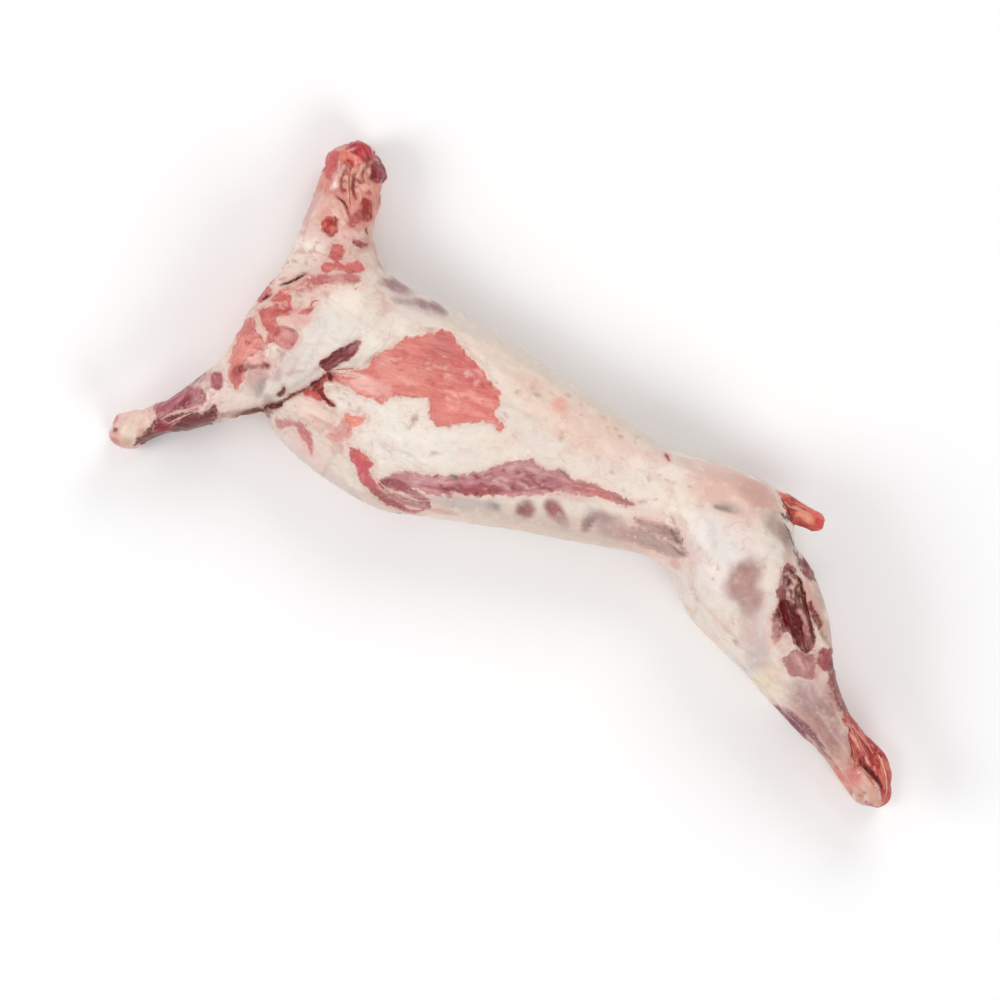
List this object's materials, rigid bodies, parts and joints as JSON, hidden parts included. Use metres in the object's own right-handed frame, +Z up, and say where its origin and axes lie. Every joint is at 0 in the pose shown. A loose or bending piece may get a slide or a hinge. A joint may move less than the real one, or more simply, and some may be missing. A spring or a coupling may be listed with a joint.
{
  "type": "whole lamb carcass",
  "caption": "Raw whole lamb carcass, skinned, without head and feet, lying on its side with its neck, legs and short tail.",
  "frame": {"origin": "on the surface that the carcass lies on, under the centre of its bounding box", "axes": "+X from the neck end to the hocks, +Y from the belly to the back, +Z up out of the carcass's left side"},
  "size_m": [1.1236, 0.5035, 0.1934],
  "materials": {
    "meat": "moist cream fat and fascia over pink and dark red muscle"
  },
  "bodies": {
    "root": {"carcass": "meat"}
  },
  "joints": []
}
